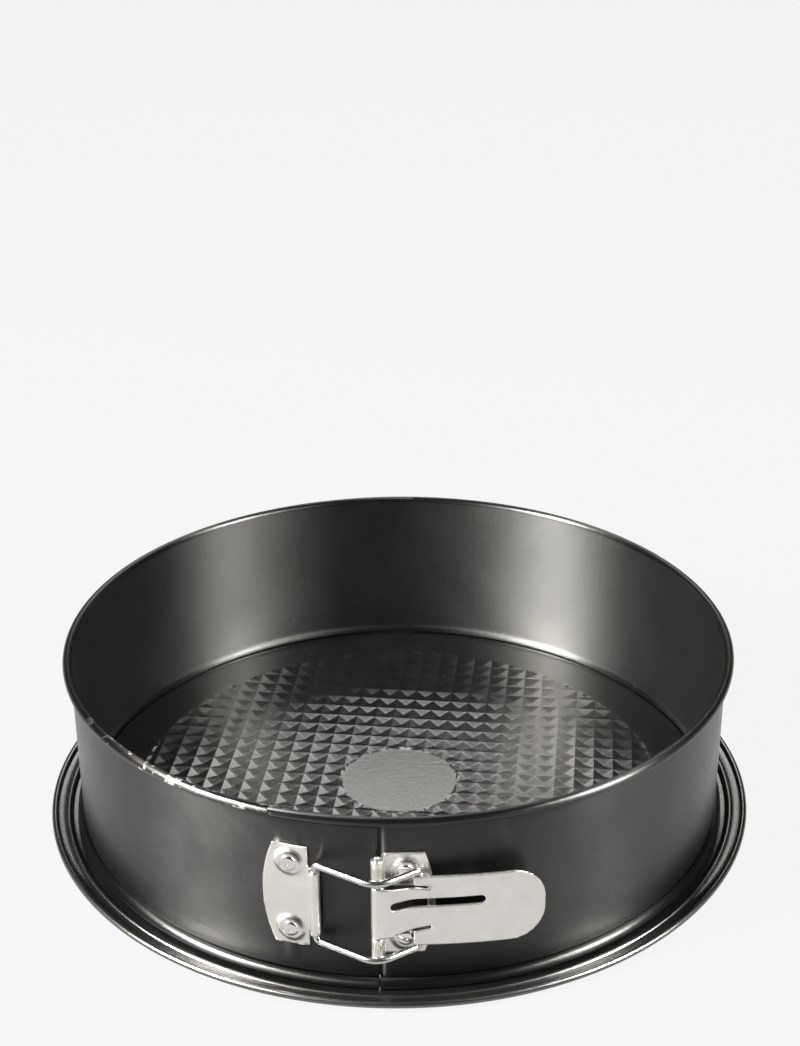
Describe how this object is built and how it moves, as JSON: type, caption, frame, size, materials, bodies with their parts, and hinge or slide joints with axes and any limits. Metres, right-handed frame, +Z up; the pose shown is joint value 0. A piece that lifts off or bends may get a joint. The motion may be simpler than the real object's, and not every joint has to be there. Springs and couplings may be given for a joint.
{
  "type": "springform pan",
  "caption": "Round springform baking pan with a waffle-pressed base plate, a split band, and an over-centre wire bail latch with a flat lever.",
  "frame": {"origin": "on the pan's axis, at the underside of the base", "axes": "+Z up along the pan's axis; the latch is at the front, -Y; +X to the right seen from the front"},
  "size_m": [0.287, 0.287, 0.0731],
  "materials": {
    "nonstick_band": "satin non-stick coating on steel sheet",
    "nonstick_base": "satin non-stick coating on steel sheet",
    "plated_steel": "satin plated sheet steel",
    "rivet_steel": "bright plated steel",
    "plated_wire": "bright plated wire"
  },
  "bodies": {
    "base": {"base_plate": "nonstick_base"},
    "ring_back": {"band_back": "nonstick_band"},
    "ring_left": {"band_left": "nonstick_band", "catch_bracket": "plated_steel", "catch_rivet_lower": "rivet_steel", "catch_rivet_upper": "rivet_steel"},
    "ring_right": {"band_right": "nonstick_band", "hinge_bracket": "plated_steel", "hinge_rivet_lower": "rivet_steel", "hinge_rivet_upper": "rivet_steel", "hinge_pin": "plated_wire"},
    "lever": {"lever": "plated_steel"},
    "bail": {"bail": "plated_wire"}
  },
  "joints": [
    {"name": "ring_lift", "type": "slide", "parent": "base", "child": "ring_back", "axis": [0, 0, 1], "range_m": [0, 0.09]},
    {"name": "ring_open_left", "type": "hinge", "parent": "ring_back", "child": "ring_left", "pos_m": [0, 0.1306, 0.037], "axis": [0, 0, -1], "range_deg": [0, 1.1]},
    {"name": "ring_open_right", "type": "hinge", "parent": "ring_back", "child": "ring_right", "pos_m": [0, 0.1306, 0.037], "axis": [0, 0, 1], "range_deg": [0, 1.1]},
    {"name": "lever_swing", "type": "hinge", "parent": "ring_right", "child": "lever", "pos_m": [0, -0.1364, 0.0378], "axis": [0, 0, -1], "range_deg": [0, 110]},
    {"name": "bail_swing", "type": "hinge", "parent": "ring_left", "child": "bail", "pos_m": [-0.02198, -0.13137, 0.03705], "axis": [0, 0, -1], "range_deg": [0, 29.4]}
  ],
  "couplings": [
    {"joint": "ring_open_left", "follows": "lever_swing", "ratio": 0.009835},
    {"joint": "ring_open_right", "follows": "lever_swing", "ratio": 0.009835},
    {"joint": "bail_swing", "follows": "lever_swing", "ratio": 0.26492}
  ]
}
